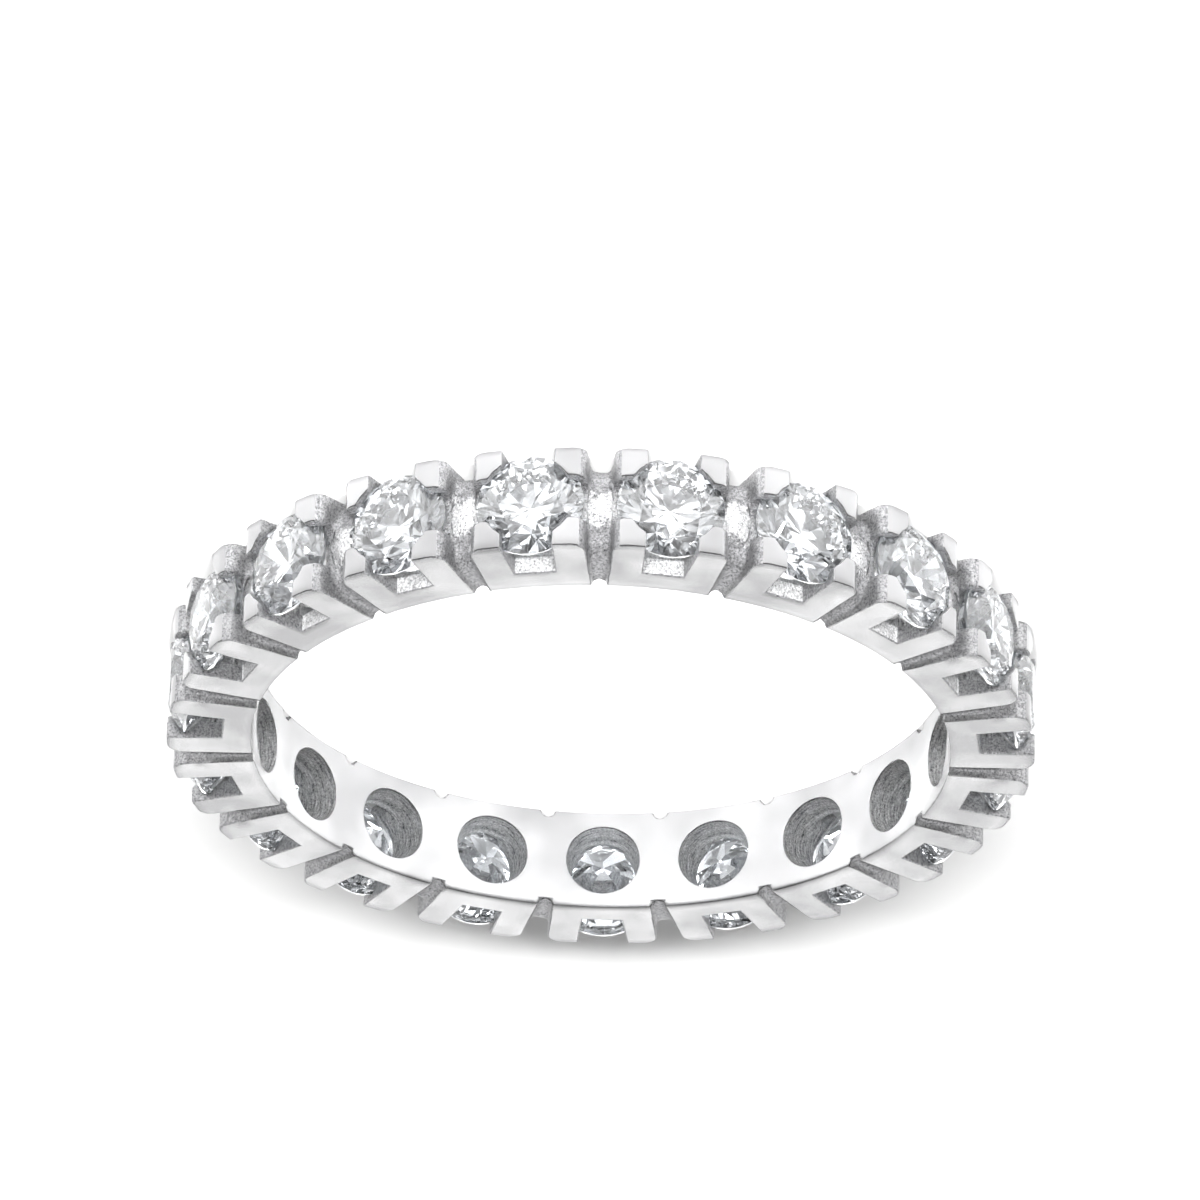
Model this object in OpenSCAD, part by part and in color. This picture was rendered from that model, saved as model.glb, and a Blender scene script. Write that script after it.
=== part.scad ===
// An eternity ring: one cast band of box-shaped heads, each with a round brilliant in four corner claws.
// The ring lies on its side. Z runs along the finger, z = 0 is the side that it rests on, and the finger's axis
// is x = y = 0. Each head is drawn on +X, with X outwards and Y round the band, and then turned to its place.

/* [Finger hole] */
// Diameter of the finger hole
inner_d = 17; // [15:0.25:20]
// Bevel that eases the finger hole's two rims
rim_bevel = 0.05; // [0.03:0.01:0.1]

/* [Stones] */
// Diameter of a stone at its girdle
stone_d = 2.6; // [2.2:0.05:3]
// Least distance between the girdles of neighbouring stones
stone_gap = 0.7; // [0.55:0.05:1]
// Width of the table across its corners, as a share of the diameter
table_share = 0.57; // [0.52:0.01:0.62]
// Height of the crown, as a share of the diameter
crown_share = 0.15; // [0.13:0.005:0.17]
// Thickness of the girdle, as a share of the diameter
girdle_share = 0.03; // [0.02:0.005:0.05]
// Depth of the pavilion, as a share of the diameter
pavilion_share = 0.43; // [0.42:0.005:0.45]
// Reach of the star facets from the table's edge, as a share of the way to the girdle
star_share = 0.5; // [0.45:0.05:0.6]
// Reach of the lower girdle facets from the girdle, as a share of the way to the point
lower_share = 0.77; // [0.7:0.01:0.85]
// Room between a stone and the metal round it
seat_gap = 0.02; // [0.01:0.005:0.04]

/* [Heads] */
// Metal beyond the stones at each side of the band
side_margin = 0.02; // [0.01:0.01:0.2]
// Distance from the finger hole to the point of a stone
culet_clear = 0.45; // [0.3:0.05:0.7]
// Height of the claw tips over the tables
claw_rise = 0.02; // [0:0.01:0.1]
// Distance that the claws reach in over a stone's girdle
claw_grip = 0.2; // [0.12:0.01:0.26]
// Opening between two claws at the groove, along the finger
claw_space = 1.1; // [0.9:0.05:1.3]
// Radius of a head's two outer corners
corner_r = 0.25; // [0.1:0.05:0.3]
// Diameter of the hole drilled from each stone to the finger hole
hole_d = 1.82; // [1.5:0.02:2]

/* [Slots and grooves] */
// Metal between a side slot and the finger hole
slot_floor = 0.7; // [0.5:0.05:0.85]
// Width of a side slot at its floor
slot_floor_w = 0.98; // [0.8:0.02:1.1]
// Width of a side slot at the claw tips
slot_mouth_w = 1.25; // [1.1:0.05:1.4]
// Width of the groove between two heads at the finger hole
groove_inner_w = 0.39; // [0.3:0.01:0.45]
// Width of the groove between two heads at the claw tips
groove_outer_w = 0.7; // [0.5:0.05:0.8]
// Depth of the groove in the band's side faces
groove_side = 0.17; // [0.1:0.01:0.3]
// Depth of the groove's floor below the girdles
groove_floor_drop = 0.23; // [0.15:0.01:0.35]
// Rise of the bridge between two stones over the groove's floor
bridge_rise = 0.1; // [0.05:0.01:0.12]
// Width of that bridge along the finger
bridge_w = 0.92; // [0.7:0.02:1]

/* [Hidden] */
$fn = 64;
// Flats that round a head's outer corner
corner_sides = 5;
inner_r = inner_d / 2;
stone_r = stone_d / 2;
table_r = table_share * stone_r;
crown_h = crown_share * stone_d;
girdle_h = girdle_share * stone_d;
pavilion_h = pavilion_share * stone_d;
hole_r = hole_d / 2;
band_w = stone_d + 2 * side_margin;
mid_z = band_w / 2;

// Distances from the finger's axis
girdle_low = inner_r + culet_clear + pavilion_h;
girdle_mid = girdle_low + girdle_h / 2;
girdle_top = girdle_low + girdle_h;
tip_r = girdle_top + crown_h + claw_rise;
groove_r = girdle_low - groove_floor_drop;
bridge_r = groove_r + bridge_rise;
// The ledge under the claws' opening lies as far over the bridge as a stone's room
ledge_r = bridge_r + 2 * seat_gap;
slot_r = inner_r + slot_floor;
// What is cut runs on by this much past the metal, and what is joined starts this deep inside the finger hole
over = 1;
inside = inner_r - over;
beyond = tip_r + over;

stone_count = floor(2 * PI * girdle_mid / (stone_d + stone_gap));
pitch = 360 / stone_count;
half = pitch / 2;
// The first head stands on +Y
first_head = 90;

// Corners of a stone's facets, from its axis and from the girdle's lower edge
facets = 8;
step = 360 / facets;
table_side = table_r * cos(step / 2);
star_r = table_side + star_share * (stone_r - table_side);
star_z = girdle_h + crown_h * (stone_r - star_r * cos(step / 2)) / (stone_r - table_r);
lower_r = (1 - lower_share) * stone_r;
lower_z = -pavilion_h * (1 - lower_r * cos(step / 2) / stone_r);

function polar(r, a, z) = [r * cos(a), r * sin(a), z];

// Width of the groove between two heads, and the edge of a head beside it, x from the finger's axis
function groove_w(x) = groove_inner_w + (groove_outer_w - groove_inner_w) * (x - inner_r) / (tip_r - inner_r);
function head_edge(x) = x * tan(half) - groove_w(x) / 2 / cos(half);

// The plan of a head: straight sides that widen outwards, a flat outer edge and two rounded corners
module head_plan() {
    slant = atan(head_edge(1) - head_edge(0));
    centre = [tip_r - corner_r, head_edge(tip_r - corner_r) - corner_r / cos(slant)];
    turn = (90 + slant) / corner_sides;
    side = concat([[inside, head_edge(inside)]],
                  [for (k = [corner_sides : -1 : 0]) centre + corner_r * [cos(k * turn), sin(k * turn)]]);
    polygon(concat(side, [for (k = [len(side) - 1 : -1 : 0]) [side[k][0], -side[k][1]]]));
}

// The ring that carries the heads: the groove's floor all round, with the bridges' rise in its middle
module core() {
    rotate_extrude()
        polygon([[inside, groove_side], [groove_r, groove_side],
                 [groove_r, mid_z - bridge_w / 2], [bridge_r, mid_z - bridge_w / 2],
                 [bridge_r, mid_z + bridge_w / 2], [groove_r, mid_z + bridge_w / 2],
                 [groove_r, band_w - groove_side], [inside, band_w - groove_side]]);
}

// The opening between the claws, turned right round the band
module claw_channel() {
    rotate_extrude()
        polygon([[ledge_r, mid_z - claw_space / 2], [beyond, mid_z - claw_space / 2],
                 [beyond, mid_z + claw_space / 2], [ledge_r, mid_z + claw_space / 2]]);
}

// The finger hole, with its two rims eased
module finger_hole() {
    translate([0, 0, -over])
        cylinder(h = band_w + 2 * over, r = inner_r, $fn = 180);
    rotate_extrude($fn = 180)
        polygon([[0, -rim_bevel], [inner_r + 2 * rim_bevel, -rim_bevel], [inner_r, rim_bevel], [0, rim_bevel]]);
    rotate_extrude($fn = 180)
        polygon([[0, band_w - rim_bevel], [inner_r, band_w - rim_bevel],
                 [inner_r + 2 * rim_bevel, band_w + rim_bevel], [0, band_w + rim_bevel]]);
}

// The slot through both side faces of the head
module side_slot() {
    spread = (slot_mouth_w - slot_floor_w) / (tip_r - slot_r) / 2;
    end_w = slot_floor_w / 2 + spread * (beyond - slot_r);
    translate([0, 0, -over])
        linear_extrude(band_w + 2 * over)
            polygon([[slot_r, -slot_floor_w / 2], [beyond, -end_w], [beyond, end_w], [slot_r, slot_floor_w / 2]]);
}

// Turns what stands on Z at the finger's axis so that it points out along X at mid width
module outwards() {
    translate([0, 0, mid_z])
        rotate([0, 90, 0])
            children();
}

// The room for a stone: the drilled hole, the seat, the girdle's groove in the claws, and the opening over it
module stone_pocket() {
    room_r = stone_r + seat_gap;
    seat_low = girdle_low - seat_gap;
    seat_rise = -lower_z / (stone_r - lower_r);
    crown_fall = (star_z - girdle_h) / (stone_r - star_r);
    open_r = stone_r - claw_grip;
    grip_top = girdle_top + seat_gap;
    outwards()
        rotate_extrude()
            polygon([[0, inside], [hole_r, inside], [hole_r, seat_low - (room_r - hole_r) * seat_rise],
                     [room_r, seat_low], [room_r, grip_top], [open_r, grip_top + (room_r - open_r) * crown_fall],
                     [open_r, beyond], [0, beyond]]);
}

module setting() {
    color([0.86, 0.87, 0.89])
        rotate([0, 0, first_head])
            difference() {
                union() {
                    core();
                    for (i = [0 : stone_count - 1])
                        rotate([0, 0, i * pitch])
                            linear_extrude(band_w)
                                head_plan();
                }
                claw_channel();
                finger_hole();
                for (i = [0 : stone_count - 1])
                    rotate([0, 0, i * pitch]) {
                        side_slot();
                        stone_pocket();
                    }
            }
}

// A round brilliant on Z with its girdle's lower edge at z = 0. Its rings of corners, from the top: the table,
// the stars' points, the girdle's two edges, the lower girdle facets' points, and the point at the bottom.
module brilliant() {
    table = 0;
    star = table + facets;
    girdle = star + facets;
    rim = girdle + 2 * facets;
    lower = rim + 2 * facets;
    culet = lower + facets;
    points = concat([for (i = [0 : facets - 1]) polar(table_r, i * step, girdle_h + crown_h)],
                    [for (i = [0 : facets - 1]) polar(star_r, (i + 0.5) * step, star_z)],
                    [for (i = [0 : 2 * facets - 1]) polar(stone_r, i * step / 2, girdle_h)],
                    [for (i = [0 : 2 * facets - 1]) polar(stone_r, i * step / 2, 0)],
                    [for (i = [0 : facets - 1]) polar(lower_r, (i + 0.5) * step, lower_z)],
                    [[0, 0, -pavilion_h]]);
    faces = concat([[for (i = [facets - 1 : -1 : 0]) table + i]],
                   [for (i = [0 : facets - 1]) let (n = (i + 1) % facets) each [
                       [table + i, table + n, star + i],
                       [table + n, girdle + 2 * n, star + i],
                       [table + i, star + i, girdle + 2 * i],
                       [star + i, girdle + 2 * i + 1, girdle + 2 * i],
                       [star + i, girdle + 2 * n, girdle + 2 * i + 1],
                       [lower + i, rim + 2 * i, rim + 2 * i + 1],
                       [lower + i, rim + 2 * i + 1, rim + 2 * n],
                       [culet, rim + 2 * i, lower + i],
                       [culet, lower + i, rim + 2 * n]]],
                   [for (j = [0 : 2 * facets - 1]) let (n = (j + 1) % (2 * facets))
                       [girdle + j, girdle + n, rim + n, rim + j]]);
    polyhedron(points, faces);
}

module stone(i) {
    color([0.85, 0.93, 1, 0.7])
        rotate([0, 0, first_head + (i - 1) * pitch])
            outwards()
                translate([0, 0, girdle_low])
                    brilliant();
}

setting();
for (i = [1 : stone_count])
    stone(i);
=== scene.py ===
import math

import bmesh
import bpy
from mathutils import Matrix, Vector, noise


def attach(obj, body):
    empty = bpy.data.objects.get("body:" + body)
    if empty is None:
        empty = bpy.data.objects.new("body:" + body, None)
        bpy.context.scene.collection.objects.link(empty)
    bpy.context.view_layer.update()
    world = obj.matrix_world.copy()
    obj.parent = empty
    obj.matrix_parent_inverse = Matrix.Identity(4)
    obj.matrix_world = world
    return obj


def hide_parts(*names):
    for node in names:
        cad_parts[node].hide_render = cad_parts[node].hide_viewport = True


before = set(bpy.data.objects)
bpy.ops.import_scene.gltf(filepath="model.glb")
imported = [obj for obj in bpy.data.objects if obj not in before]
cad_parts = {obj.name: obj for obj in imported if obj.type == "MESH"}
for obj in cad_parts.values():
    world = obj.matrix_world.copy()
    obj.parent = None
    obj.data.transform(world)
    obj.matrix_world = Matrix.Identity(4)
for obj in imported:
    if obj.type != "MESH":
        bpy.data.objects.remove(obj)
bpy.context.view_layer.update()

# The setting: one rhodium-plated casting, with nineteen box-shaped heads on a narrow band. The grooves
# between the heads are sawn, the slots and holes are cut, and what a polishing wheel reaches is polished.
# It is drawn in millimetres, a head on +X first, and made metres at the end.
inner_r = 8.5
band_w = 2.64
mid_z = band_w / 2
tip_r = 10.535
heads = 19
pitch = math.tau / heads
half = pitch / 2
first_head = math.pi / 2
hole_r = 0.91
hole_mouth = 0.1
hole_end = 9.55
waist_r = 0.79
stone_r = 1.3
girdle_low = 10.068
girdle_top = 10.146
seat_room = 0.022
seat_depth = 0.52
claw_grip = 0.2
grip_depth = 0.16
claw_space = 1.1
claw_corner = 0.36
claw_fall = 0.06
groove_inner_w = 0.39
groove_outer_w = 0.7
groove_r = 9.838
groove_side = 0.17
bridge_r = 9.955
ledge_r = 9.93
slot_r = 9.2
slot_floor_w = 0.98
slot_mouth_w = 1.25
past = 1.0


def groove_w(x):
    """Width of the groove between two heads, at a distance from the finger's axis."""
    return groove_inner_w + (groove_outer_w - groove_inner_w) * (x - inner_r) / (tip_r - inner_r)


def head_edge(x):
    """Half the width of a head there."""
    return x * math.tan(half) - groove_w(x) / 2 / math.cos(half)


def slab(points, low, high):
    """A flat outline, drawn out along the finger."""
    bm = bmesh.new()
    outline = bm.faces.new([bm.verts.new((x, y, low)) for x, y in points])
    grown = bmesh.ops.extrude_face_region(bm, geom=[outline])["geom"]
    far_end = [g for g in grown if isinstance(g, bmesh.types.BMVert)]
    bmesh.ops.translate(bm, verts=far_end, vec=(0, 0, high - low))
    bmesh.ops.recalc_face_normals(bm, faces=bm.faces)
    return bm


def swept(points, reach, steps):
    """A section of the band, swept round the finger to both sides of the head."""
    bm = bmesh.new()
    section = bm.faces.new([bm.verts.new((r, 0, z)) for r, z in points])
    bmesh.ops.rotate(bm, verts=bm.verts, cent=(0, 0, 0), matrix=Matrix.Rotation(-reach, 3, "Z"))
    bmesh.ops.spin(bm, geom=[*section.verts, *section.edges, section], cent=(0, 0, 0), axis=(0, 0, 1),
                   dvec=(0, 0, 0), angle=2 * reach, steps=steps, use_merge=False, use_duplicate=False)
    bmesh.ops.recalc_face_normals(bm, faces=bm.faces)
    return bm


def drilled(points, steps):
    """A tool's outline, turned about the line that runs out from the finger's axis through the stone."""
    bm = bmesh.new()
    corners = [bm.verts.new((x, 0, r)) for r, x in points]
    edges = [bm.edges.new(pair) for pair in zip(corners, corners[1:])]
    bmesh.ops.spin(bm, geom=corners + edges, cent=(0, 0, 0), axis=(1, 0, 0), dvec=(0, 0, 0), angle=math.tau,
                   steps=steps, use_merge=True, use_duplicate=False)
    bmesh.ops.remove_doubles(bm, verts=bm.verts, dist=1e-5)
    bmesh.ops.translate(bm, verts=bm.verts, vec=(0, 0, mid_z))
    bmesh.ops.recalc_face_normals(bm, faces=bm.faces)
    return bm


def lump(bm, name):
    """Puts a drawn shape in the scene."""
    mesh = bpy.data.meshes.new(name)
    bm.to_mesh(mesh)
    bm.free()
    piece = bpy.data.objects.new(name, mesh)
    bpy.context.scene.collection.objects.link(piece)
    return piece


def settled(piece):
    """Makes a piece's modifiers part of its mesh."""
    graph = bpy.context.evaluated_depsgraph_get()
    mesh = bpy.data.meshes.new_from_object(piece.evaluated_get(graph))
    piece.modifiers.clear()
    piece.data = mesh


def worked(piece, bm, how):
    """Joins a shape to the metal, or cuts it away."""
    tool = lump(bm, "tool")
    change = piece.modifiers.new("work", "BOOLEAN")
    change.operation = how
    change.object = tool
    change.solver = "EXACT"
    settled(piece)
    bpy.data.objects.remove(tool)


# The head's block. Its outer face falls a little towards both corners, which the claws are made of.
claw_flat = 0.4 * slot_mouth_w
head = slab([(inner_r - past, -head_edge(inner_r - past)), (tip_r - claw_fall, -head_edge(tip_r)),
             (tip_r, -claw_flat), (tip_r, claw_flat),
             (tip_r - claw_fall, head_edge(tip_r)), (inner_r - past, head_edge(inner_r - past))], 0, band_w)
outer_corners = [e for e in head.edges if abs(e.verts[0].co.z - e.verts[1].co.z) > mid_z
                 and all(abs(v.co.x - tip_r + claw_fall) < 0.01 for v in e.verts)]
bmesh.ops.bevel(head, geom=outer_corners, offset=claw_corner, offset_type="OFFSET", affect="EDGES",
                segments=5, profile=0.5, material=-1, clamp_overlap=False)
setting = lump(head, "setting_polished")
# The band that carries it. Its outer side is the bridge between two stones, which slopes to the groove's
# floor, given as distances from the finger's axis and from mid width.
bridge = [(bridge_r, 0.16), (ledge_r - 0.012, 0.36), (ledge_r - 0.04, 0.5), (groove_r + 0.015, 0.64),
          (groove_r, 0.8), (groove_r - 0.05, 0.96), (groove_r - 0.14, 1.08),
          (groove_r - 0.24, mid_z - groove_side)]
worked(setting, swept([(inner_r - past, groove_side), *[(r, mid_z - z) for r, z in reversed(bridge)],
                       *[(r, mid_z + z) for r, z in bridge], (inner_r - past, band_w - groove_side)],
                      0.75 * pitch, 12), "UNION")
# The opening between the claws, the finger hole, and the slot through both side faces
worked(setting, swept([(ledge_r, mid_z - claw_space / 2), (tip_r + past, mid_z - claw_space / 2),
                       (tip_r + past, mid_z + claw_space / 2), (ledge_r, mid_z + claw_space / 2)],
                      0.8 * pitch, 16), "DIFFERENCE")
worked(setting, swept([(1, -past), (inner_r, -past), (inner_r, band_w + past), (1, band_w + past)],
                      pitch, 20), "DIFFERENCE")
slot_spread = (slot_mouth_w - slot_floor_w) / (tip_r - slot_r) / 2
slot_end_w = slot_floor_w / 2 + slot_spread * (tip_r + past - slot_r)
worked(setting, slab([(slot_r, -slot_floor_w / 2), (tip_r + past, -slot_end_w), (tip_r + past, slot_end_w),
                      (slot_r, slot_floor_w / 2)], -past, band_w + past), "DIFFERENCE")
# The stone's room: the drilled hole with its waist, the seat, the girdle's groove, and the opening over it
room_r = stone_r + seat_room
open_r = stone_r - claw_grip
seat_low = girdle_low - seat_room
grip_top = girdle_top + seat_room
worked(setting, drilled([(0, inner_r - past), (hole_r, inner_r - past), (hole_r, inner_r + hole_mouth),
                         (waist_r, slot_r - 0.02), (waist_r, seat_low - seat_depth), (room_r, seat_low),
                         (room_r, grip_top), (open_r, grip_top + grip_depth), (open_r, tip_r + past),
                         (0, tip_r + past)], 48), "DIFFERENCE")

# How wide each kind of edge is rounded, and from what angle on an edge counts as one
sharp = math.radians(24)
edge_round = 0.035
hollow_round = 0.06
groove_round = 0.17
claw_round = 0.05
groove_rim_round = 0.1
full_round = 0.125


def measured(spot):
    """A place's distance from the finger's axis, and from the nearer side of the band."""
    return math.hypot(spot.x, spot.y), min(spot.z, band_w - spot.z)


def in_groove(spot):
    """Whether a place is beside the groove to the next head."""
    return abs(math.atan2(spot.y, spot.x)) > half * 0.6


def rounding(e):
    """How wide an edge is rounded: not at all at the seat, and most in the grooves' hollows."""
    if len(e.link_faces) != 2 or e.calc_face_angle(0) < sharp:
        return 0
    spot = (e.verts[0].co + e.verts[1].co) / 2
    r, side = measured(spot)
    from_stone = math.hypot(spot.y, spot.z - mid_z)
    if from_stone < room_r + 0.02 and side > 0.02 and inner_r + 0.2 < r < girdle_top + 0.05:
        return 0
    if e.calc_face_angle_signed(0) < 0:
        beside_bridge = r > groove_r + 0.02 and abs(spot.z - mid_z) < 0.6
        return groove_round if in_groove(spot) and not beside_bridge else hollow_round
    if r > tip_r - 0.1:
        return claw_round
    if abs(side - groove_side) < 0.03 and r > groove_r - 0.4:
        return groove_rim_round
    return edge_round


def in_order(bm):
    """Sorts a shape by place. Cutting and spinning leave it in a chance order, which merging goes by."""
    slant = Vector((1, 0.755, 0.57))
    bm.verts.sort(key=lambda v: slant.dot(v.co))
    bm.edges.sort(key=lambda e: slant.dot(e.verts[0].co + e.verts[1].co))
    bm.faces.sort(key=lambda f: slant.dot(f.calc_center_median()))


bm = bmesh.new()
bm.from_mesh(setting.data)
in_order(bm)
bmesh.ops.remove_doubles(bm, verts=bm.verts, dist=0.012)
bmesh.ops.dissolve_limit(bm, angle_limit=math.radians(0.5), verts=bm.verts, edges=bm.edges)
ease = bm.edges.layers.float.new("bevel_weight_edge")
for e in bm.edges:
    e[ease] = rounding(e) / full_round
bm.to_mesh(setting.data)
bm.free()
round_off = setting.modifiers.new("round_off", "BEVEL")
round_off.limit_method = "WEIGHT"
round_off.offset_type = "OFFSET"
round_off.width = full_round
round_off.segments = 2
round_off.profile = 0.5
round_off.material = -1
round_off.use_clamp_overlap = False
settled(setting)

# A quarter of the head is kept and sliced, so that it can bend, and each face gets its finish
slices_round = 5
slices_across = 6
slices_out = 8
rim_depth = 0.06
POLISHED, BRUSHED, AS_CAST, DRILLED, SAWN = range(5)


def sliced(bm, co, no, clear):
    """Slices through the metal, and takes off what lies beyond if that is asked."""
    bmesh.ops.bisect_plane(bm, geom=[*bm.verts, *bm.edges, *bm.faces], dist=0.003, plane_co=co, plane_no=no,
                           clear_outer=clear)


def finish_of(f):
    """Polished are the side faces, the claws' tips and the finger hole, and brushed the slots' floors and the
    seats. The walls of the grooves, slots and claws are as they were cast. Sawn or filed are the grooves'
    floors and the outer rims of the side faces."""
    spot = f.calc_center_median()
    r, side = measured(spot)
    outward = (f.normal.x * spot.x + f.normal.y * spot.y) / r
    if r < inner_r + 0.03 or r > tip_r - 0.2 and outward > 0.8:
        return POLISHED
    if side < rim_depth and abs(f.normal.z) > 0.3:
        return SAWN if r > slot_r - rim_depth and abs(f.normal.z) < 0.98 else POLISHED
    if r < hole_end and math.hypot(spot.z - mid_z, spot.y) < hole_r + 0.05:
        return DRILLED
    if r > slot_r and abs(f.normal.y) > 0.9 and abs(spot.y) < 0.7:
        return AS_CAST
    if slot_r - rim_depth < r < girdle_low and not in_groove(spot):
        return BRUSHED
    return SAWN if outward > 0.6 or abs(f.normal.z) > 0.8 else AS_CAST


bm = bmesh.new()
bm.from_mesh(setting.data)
in_order(bm)
sliced(bm, (0, 0, 0), (0, -1, 0), True)
sliced(bm, (0, 0, mid_z), (0, 0, -1), True)
sliced(bm, (0, 0, 0), (-math.sin(half), math.cos(half), 0), True)
for k in range(1, slices_round):
    turned = half * k / slices_round
    sliced(bm, (0, 0, 0), (-math.sin(turned), math.cos(turned), 0), False)
for k in range(1, slices_across):
    sliced(bm, (0, 0, mid_z * (1 + k / slices_across)), (0, 0, 1), False)
for k in range(1, slices_out):
    sliced(bm, (inner_r + 0.25 * k, 0, 0), (1, 0, 0), False)
for f in bm.faces:
    f.material_index = finish_of(f)
    f.smooth = True
bmesh.ops.dissolve_degenerate(bm, dist=0.006, edges=bm.edges)
in_order(bm)
humps = {f for f in bm.faces if f.material_index == SAWN and f.calc_center_median().z < mid_z + 0.7}
hump_edges = [e for e in bm.edges if not humps.isdisjoint(e.link_faces)]
bmesh.ops.subdivide_edges(bm, edges=hump_edges, cuts=2, use_grid_fill=True)
bmesh.ops.translate(bm, verts=bm.verts, vec=(0, 0, -mid_z))
for axis in "ZY":
    bmesh.ops.mirror(bm, geom=[*bm.verts, *bm.edges, *bm.faces], matrix=Matrix.Identity(4), merge_dist=0.003,
                     axis=axis)
bmesh.ops.translate(bm, verts=bm.verts, vec=(0, 0, mid_z))
bmesh.ops.spin(bm, geom=[*bm.verts, *bm.edges, *bm.faces], cent=(0, 0, 0), axis=(0, 0, 1), dvec=(0, 0, 0),
               angle=math.tau - pitch, steps=heads - 1, use_merge=False, use_duplicate=True)
in_order(bm)
bmesh.ops.remove_doubles(bm, verts=bm.verts, dist=0.002)
bmesh.ops.rotate(bm, verts=bm.verts, cent=(0, 0, 0), matrix=Matrix.Rotation(first_head, 3, "Z"))
bmesh.ops.recalc_face_normals(bm, faces=bm.faces)

# No two heads of a hand-finished casting are quite alike: each is a little turned, shifted and worn. The seed
# is set because noise_vector starts from the clock without one, and every run would give another casting.
noise.seed_set(19)
lean_reach = 0.03
hump_rise = 0.07
rim_wear = 0.012
for v in bm.verts:
    r = math.hypot(v.co.x, v.co.y)
    n = (math.atan2(v.co.y, v.co.x) - first_head) / pitch
    own = round(n)
    lift = min(1, max(0, (r - inner_r - 0.1) / 1.6)) * max(0, math.cos(math.pi * (n - own))) ** 0.5
    lean = noise.noise((own % heads * 7.3, 1.7, 0)) * lean_reach
    wave = noise.noise_vector(v.co * 0.9) * 0.016 + noise.noise_vector(v.co * 2.7) * 0.008
    along = Vector((-v.co.y, v.co.x, 0)) / r
    v.co += lift * (lean * along + wave)
    if groove_r - 0.3 < r < bridge_r + 0.03 and abs(n - own) > 0.4:
        middle = min(1, (abs(n - own) - 0.4) / 0.09) * max(0, math.cos((v.co.z - mid_z) * 2.4))
        rough = noise.noise(v.co * 4) * 0.045 + noise.noise(v.co * 9) * 0.02
        v.co += (hump_rise * middle ** 0.6 + rough) * Vector((v.co.x, v.co.y, 0)) / r
    worn_off = rim_wear * lift
    lowest = worn_off * (1 + noise.noise(v.co * 1.3))
    highest = band_w - worn_off * (1 + noise.noise(v.co * 1.1))
    v.co.z = min(max(v.co.z, lowest), highest)
bmesh.ops.scale(bm, verts=bm.verts, vec=(0.001, 0.001, 0.001))
bm.to_mesh(setting.data)
bm.free()
setting.modifiers.new("even_light", "WEIGHTED_NORMAL").weight = 90


class Shade:
    """A socket in a material's nodes. Sums and products of sockets are written as plain arithmetic."""

    def __init__(self, tree, socket=None):
        self.tree = tree
        self.socket = socket

    def node(self, kind, settings, inputs, output=0):
        """Adds a node: its settings first, then the values or links of its sockets, by name or number."""
        made = self.tree.nodes.new(kind)
        for name, value in settings.items():
            if name != "stops":
                setattr(made, name, value)
                continue
            while len(made.color_ramp.elements) < len(value):
                made.color_ramp.elements.new(1)
            for stop, (at, grey) in zip(made.color_ramp.elements, value):
                stop.position = at
                stop.color = (grey, grey, grey, 1)
        for name, value in inputs.items():
            if isinstance(value, Shade):
                self.tree.links.new(value.socket, made.inputs[name])
            else:
                made.inputs[name].default_value = value
        return Shade(self.tree, made.outputs[output] if len(made.outputs) else None)

    def maths(self, operation, *others):
        return self.node("ShaderNodeMath", {"operation": operation}, dict(enumerate((self, *others))))

    def held(self):
        """The same, but never under 0 or over 1."""
        return self.maths("MINIMUM", 1).maths("MAXIMUM", 0)

    def ramp(self, *stops):
        """Greys between stops, each a place from 0 to 1 and its grey."""
        return self.node("ShaderNodeValToRGB", {"stops": stops}, {0: self})

    def __add__(self, other):
        return self.maths("ADD", other)

    def __mul__(self, other):
        return self.maths("MULTIPLY", other)

    def __sub__(self, other):
        return self.maths("SUBTRACT", other)

    def __rsub__(self, other):
        return (self * -1) + other

    __radd__, __rmul__ = __add__, __mul__


def new_finish(name):
    """A material with no nodes yet, and a first handle on them."""
    finish = bpy.data.materials.new(name)
    finish.use_nodes = True
    finish.node_tree.nodes.clear()
    return finish, Shade(finish.node_tree)


def surfaced(nodes, sockets):
    """Ends a material's nodes in one shader, with these values or links."""
    look = nodes.node("ShaderNodeBsdfPrincipled", {}, sockets)
    nodes.node("ShaderNodeOutputMaterial", {}, {"Surface": look})


def embossed(nodes, height, strength, depth):
    """Relief from a pattern: its strength, and its depth in metres."""
    return nodes.node("ShaderNodeBump", {}, {"Strength": strength, "Distance": depth, "Height": height})


def millimetres(nodes):
    """Places on the piece, in millimetres."""
    place = nodes.node("ShaderNodeTexCoord", {}, {}, "Object")
    return nodes.node("ShaderNodeMapping", {}, {"Vector": place, "Scale": (1000, 1000, 1000)})


def from_axis(place):
    """A place's distance from the finger's axis."""
    flat = place.node("ShaderNodeVectorMath", {"operation": "MULTIPLY"}, {0: place, 1: (1, 1, 0)})
    return flat.node("ShaderNodeVectorMath", {"operation": "LENGTH"}, {0: flat}, 1)


def speckle(place, scale, detail=2.0, roughness=0.5):
    """Noise with so many grains to a millimetre, from 0 to 1."""
    return place.node("ShaderNodeTexNoise", {}, {"Vector": place, "Scale": scale, "Detail": detail,
                                                 "Roughness": roughness})


def tint(mask, dark, light):
    """A colour between two, by a mask."""
    ends = [c if isinstance(c, Shade) else (*c, 1) for c in (dark, light)]
    return mask.node("ShaderNodeMix", {"data_type": "RGBA"}, {0: mask, 6: ends[0], 7: ends[1]}, 2)


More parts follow.
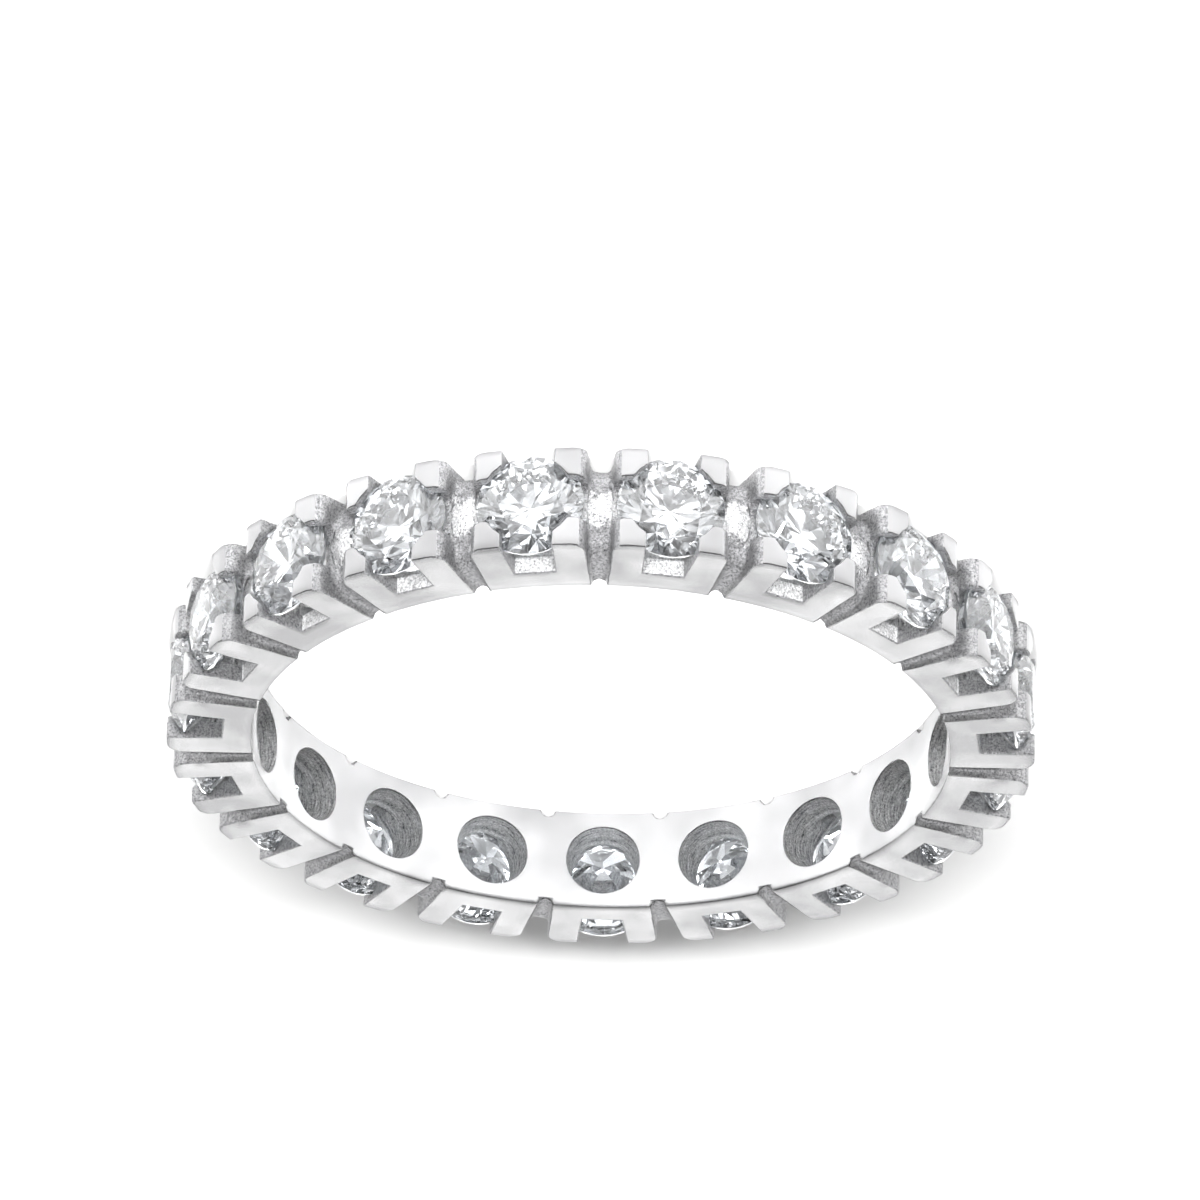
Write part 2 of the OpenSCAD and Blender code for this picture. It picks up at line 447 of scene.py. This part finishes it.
# Polished metal is cloudy and finely scratched. Its colour is painted greyer at the claws' tips and in the
# finger hole: painted shade.
rhodium, nodes = new_finish("rhodium_polished")
place = millimetres(nodes)
cloud = speckle(place, 0.45, 2)
haze = speckle(place, 4, 4, 0.6)
hairs = place.node("ShaderNodeMapping", {}, {"Vector": place, "Rotation": (0.3, 0.2, 0.5),
                                             "Scale": (3, 40, 40)})
hairs = speckle(hairs, 1, 2)
worn = cloud.ramp((0.36, 0.0), (0.64, 1.0))
depth = from_axis(place)
# Painted shade: these masks darken the polished colour at the claws' tips and in the finger hole.
tips = ((depth - tip_r) * 5 + 1.2).held()
hole_painted_shade = ((inner_r - depth) * 10 + 1.5).held()
face = tint(worn, (0.44, 0.44, 0.445), (0.66, 0.66, 0.665))
face = tint(hole_painted_shade, face, tint(worn, (0.4, 0.4, 0.405), (0.57, 0.57, 0.575)))
tip = tint(worn, (0.36, 0.36, 0.365), (0.47, 0.47, 0.475))
surfaced(nodes, {"Base Color": tint(tips, face, tip), "Metallic": 1.0,
                 "Roughness": haze * 0.12 + hairs * 0.05 + 0.14,
                 "Normal": embossed(nodes, cloud * 0.5 + haze * 0.05 + hairs * 0.02, 0.35, 0.00003)})


def grainy(name, dark, light, rough, relief, metallic, streaks=0, crest=False):
    """Metal with the grain of the casting, between two shades. Less metallic is more frosted. A drill leaves
    so many streaks to a millimetre of its way in, and a bridge's crest gets a painted highlight."""
    metal, nodes = new_finish(name)
    place = millimetres(nodes)
    grain = speckle(place, 18, 4, 0.75)
    pits = speckle(place, 4, 3)
    rise = place.node("ShaderNodeSeparateXYZ", {}, {"Vector": place}, "Z")
    if streaks:
        turned = rise.node("ShaderNodeCombineXYZ", {}, {0: from_axis(place) * streaks, 1: rise * 2.5})
        grain = grain * 0.5 + speckle(turned, 1, 3, 0.6) * 0.5
    spread = grain.ramp((0.36, 0.0), (0.64, 1.0))
    shade = tint(spread, dark, light)
    # Painted highlight: the middle of the bridge's crest is painted paler, with ragged edges.
    if crest:
        off_middle = (rise - mid_z).maths("ABSOLUTE")
        ragged = 1 - off_middle * 1.8 + (pits - 0.5) * 1.8 + (grain - 0.5) * 1.2
        crest_painted_highlight = ragged.ramp((0.1, 0.0), (0.45, 1.0))
        shade = tint(crest_painted_highlight, shade, tint(spread, (0.22, 0.22, 0.225), (0.85, 0.85, 0.86)))
    surfaced(nodes, {"Base Color": shade, "Metallic": metallic, "Roughness": grain * 0.2 + rough,
                     "Normal": embossed(nodes, grain + pits * 0.8, 1.0, relief)})
    return metal


brushed = grainy("rhodium_brushed", (0.25, 0.25, 0.255), (0.9, 0.9, 0.905), 0.2, 0.00004, 0.75)
cast = grainy("rhodium_as_cast", (0.15, 0.15, 0.155), (0.58, 0.58, 0.59), 0.25, 0.00002, 0.95)
bored = grainy("rhodium_drilled", (0.04, 0.04, 0.045), (0.95, 0.95, 0.95), 0.35, 0.00004, 0.98, streaks=20)
sawn = grainy("rhodium_sawn", (0.1, 0.1, 0.105), (0.44, 0.44, 0.45), 0.2, 0.00002, 0.85, crest=True)
for metal in (rhodium, brushed, cast, bored, sawn):
    setting.data.materials.append(metal)
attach(setting, "root")
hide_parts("setting")

# The stones: nineteen round brilliants, ground from turned blanks: a table, eight stars, eight main and
# sixteen girdle facets above the girdle, and eight and sixteen below it. The girdle stays frosted, as it was
# turned. Each stone is pushed into its seat by hand, so each lies turned at random.
crown_h = 0.15 * 2 * stone_r
girdle_h = girdle_top - girdle_low
pavilion_h = 0.43 * 2 * stone_r
table_r = 0.57 * stone_r
eighth = math.tau / 8
table_side = table_r * math.cos(eighth / 2)
star_r = (table_side + stone_r) / 2
star_z = girdle_h + crown_h * (stone_r - star_r * math.cos(eighth / 2)) / (stone_r - table_r)
lower_r = 0.23 * stone_r
lower_z = -pavilion_h * (1 - lower_r * math.cos(eighth / 2) / stone_r)
seat_tilt = 0.012


def on_stone(r, turn, z):
    """A point on a stone, by its distance from the stone's axis, its turn in eighths, and its height."""
    return Vector((r * math.cos(turn * eighth), r * math.sin(turn * eighth), z))


def facet(bm, a, b, c):
    """Grinds one flat facet through three points."""
    no = (b - a).cross(c - a).normalized()
    no = no if no.dot(a - Vector((0, 0, girdle_h / 2))) > 0 else -no
    ground = bmesh.ops.bisect_plane(bm, geom=[*bm.verts, *bm.edges, *bm.faces], dist=1e-4, plane_co=a,
                                    plane_no=no, clear_outer=True)["geom_cut"]
    bmesh.ops.edgeloop_fill(bm, edges=[g for g in ground if isinstance(g, bmesh.types.BMEdge)], mat_nr=0)


blank = bmesh.new()
bmesh.ops.create_cone(blank, cap_ends=True, segments=48, radius1=stone_r, radius2=stone_r,
                      depth=crown_h + girdle_h + pavilion_h)
bmesh.ops.translate(blank, verts=blank.verts, vec=(0, 0, (crown_h + girdle_h - pavilion_h) / 2))
for f in blank.faces:
    f.material_index = int(abs(f.normal.z) < 0.5)
for k in range(8):
    facet(blank, on_stone(stone_r, k, girdle_h), on_stone(table_r, k, girdle_h + crown_h),
          on_stone(star_r, k + 0.5, star_z))
    facet(blank, on_stone(stone_r, k, 0), Vector((0, 0, -pavilion_h)), on_stone(lower_r, k + 0.5, lower_z))
for k in range(8):
    facet(blank, on_stone(table_r, k, girdle_h + crown_h), on_stone(table_r, k + 1, girdle_h + crown_h),
          on_stone(star_r, k + 0.5, star_z))
    for side in (0, 1):
        facet(blank, on_stone(stone_r, k + side, girdle_h), on_stone(stone_r, k + 0.5, girdle_h),
              on_stone(star_r, k + 0.5, star_z))
        facet(blank, on_stone(stone_r, k + side, 0), on_stone(stone_r, k + 0.5, 0),
              on_stone(lower_r, k + 0.5, lower_z))
bmesh.ops.remove_doubles(blank, verts=blank.verts, dist=0.0005)
bmesh.ops.recalc_face_normals(blank, faces=blank.faces)

diamond, nodes = new_finish("diamond_facets")
wisp = speckle(millimetres(nodes), 0.8, 2)
surfaced(nodes, {"Base Color": tint(wisp, (0.9, 0.945, 1.0), (0.975, 0.988, 1.0)), "Roughness": 0.0,
                 "IOR": 2.42, "Transmission Weight": 1.0})
# The frosted girdle is tinted dark grey: painted shade, so the band that pokes out of the seat doesn't shine.
frost_painted_shade, nodes = new_finish("diamond_girdle")
powder = speckle(millimetres(nodes), 30, 2)
surfaced(nodes, {"Base Color": tint(powder, (0.12, 0.13, 0.14), (0.28, 0.3, 0.32)), "Roughness": 0.4,
                 "IOR": 2.42, "Transmission Weight": 1.0, "Normal": embossed(nodes, powder, 0.3, 0.00001)})

for n in range(heads):
    chance = [noise.noise((n * 3.7, k * 5.1, 0.5)) for k in range(3)]
    gem = blank.copy()
    seat = (Matrix.Rotation(first_head + n * pitch, 4, "Z") @ Matrix.Translation((girdle_low, 0, mid_z))
            @ Matrix.Rotation(math.pi / 2, 4, "Y") @ Matrix.Rotation(chance[0] * seat_tilt, 4, "X")
            @ Matrix.Rotation(chance[1] * seat_tilt, 4, "Y") @ Matrix.Rotation(n * 2.4 + chance[2], 4, "Z"))
    bmesh.ops.transform(gem, matrix=Matrix.Scale(0.001, 4) @ seat, verts=gem.verts)
    stone = lump(gem, f"brilliant_{n + 1:02d}")
    stone.data.materials.append(diamond)
    stone.data.materials.append(frost_painted_shade)
    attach(stone, "root")
    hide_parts(f"stone_{n + 1:02d}")
blank.free()

# The table: a plain sheet of white paper, so wide that its edges are out of the picture. The camera looks
# down at the ring that lies on it, and is held upside down, so the near stones are at the picture's top.
floor_mesh = bmesh.new()
bmesh.ops.create_grid(floor_mesh, x_segments=1, y_segments=1, size=1)
floor = lump(floor_mesh, "floor")
paper, nodes = new_finish("white_paper")
pulp = speckle(millimetres(nodes), 0.1)
surfaced(nodes, {"Base Color": tint(pulp, (0.42, 0.42, 0.42), (0.44, 0.44, 0.44)), "Roughness": 0.9,
                 "Specular IOR Level": 0.1})
floor.data.materials.append(paper)

distance = 0.2968
elevation = math.radians(27.54)
swing = math.radians(0.93)
yaw = math.radians(0.022)
nod = math.radians(-0.482)
roll = math.radians(180 + 1.59)
centre = Vector((0, 0, 0.00132))
camera = bpy.data.objects.new("camera", bpy.data.cameras.new("camera"))
bpy.context.scene.collection.objects.link(camera)
bpy.context.scene.camera = camera
camera.data.lens = 365.85
camera.data.clip_start = 0.01
camera.matrix_world = (Matrix.Translation(centre) @ Matrix.Rotation(-swing, 4, "Z")
                       @ Matrix.Rotation(math.pi / 2 - elevation, 4, "X")
                       @ Matrix.Translation((0, 0, distance)) @ Matrix.Rotation(-yaw, 4, "Y")
                       @ Matrix.Rotation(nod, 4, "X") @ Matrix.Rotation(roll, 4, "Z"))


# The light: a strip in front throws the soft shadow, a narrow spot brightens the paper inside the ring, and a
# panel at the back glows through the stones. The polished metal mirrors none of them.
def lamp(name, kind, power, spot):
    """A lamp that can't be seen, in the picture or in a mirror."""
    light = bpy.data.objects.new(name, bpy.data.lights.new(name, kind))
    light.data.energy = power
    light.location = spot
    light.visible_camera = False
    light.visible_glossy = False
    light.visible_transmission = False
    bpy.context.scene.collection.objects.link(light)
    return light


def panel(name, power, spot, width, height):
    """A flat lamp that faces the ring."""
    light = lamp(name, "AREA", power, spot)
    light.data.shape = "RECTANGLE"
    light.data.size = width
    light.data.size_y = height
    light.rotation_euler = (centre - light.location).to_track_quat("-Z", "Y").to_euler()
    return light


front = panel("front_strip", 8.0, (0, -0.300, 0.130), 0.28, 0.03)
over = lamp("over_hole", "SPOT", 4.0, (0, -0.003, 0.15))
over.data.spot_size = math.radians(9)
over.data.spot_blend = 0.6
over.data.shadow_soft_size = 0.01
back = panel("back_glow", 9.0, (0, 0.300, 0.150), 0.36, 0.20)
back.visible_transmission = True
back.visible_diffuse = False

# The tent round it all is pale cloth with fine dark creases, brighter low in front and at its very top
tent = bpy.data.worlds.new("light_tent")
bpy.context.scene.world = tent
tent.use_nodes = True
tent.node_tree.nodes.clear()
cloth = Shade(tent.node_tree)
way = cloth.node("ShaderNodeTexCoord", {}, {}, "Generated")
across, along, up = (way.node("ShaderNodeSeparateXYZ", {}, {"Vector": way}, axis) for axis in "XYZ")
height = up.ramp((0.3, 1.1), (0.4, 1.25), (0.55, 1.15), (0.66, 0.9), (0.78, 0.65), (0.84, 0.1), (0.93, 0.1),
                 (0.97, 1.9))
low_front = (0.35 - up).maths("MAXIMUM", 0) * (along * -1).maths("MAXIMUM", 0)
creases = speckle(way, 90, 1).ramp((0.495, 0.02), (0.565, 1.0))
creased = creases * (0.95 - across * 0.15 + along * 0.25)
bright = height * (creased + along.maths("MAXIMUM", 0) * 0.87) + low_front * 1.4
glow = bright.node("ShaderNodeBackground", {}, {"Color": bright, "Strength": 0.95})
glow.node("ShaderNodeOutputWorld", {}, {"Surface": glow})

bpy.context.scene.view_settings.view_transform = "Standard"
paths = bpy.context.scene.cycles
paths.max_bounces = 24
paths.transmission_bounces = 24
paths.glossy_bounces = 24
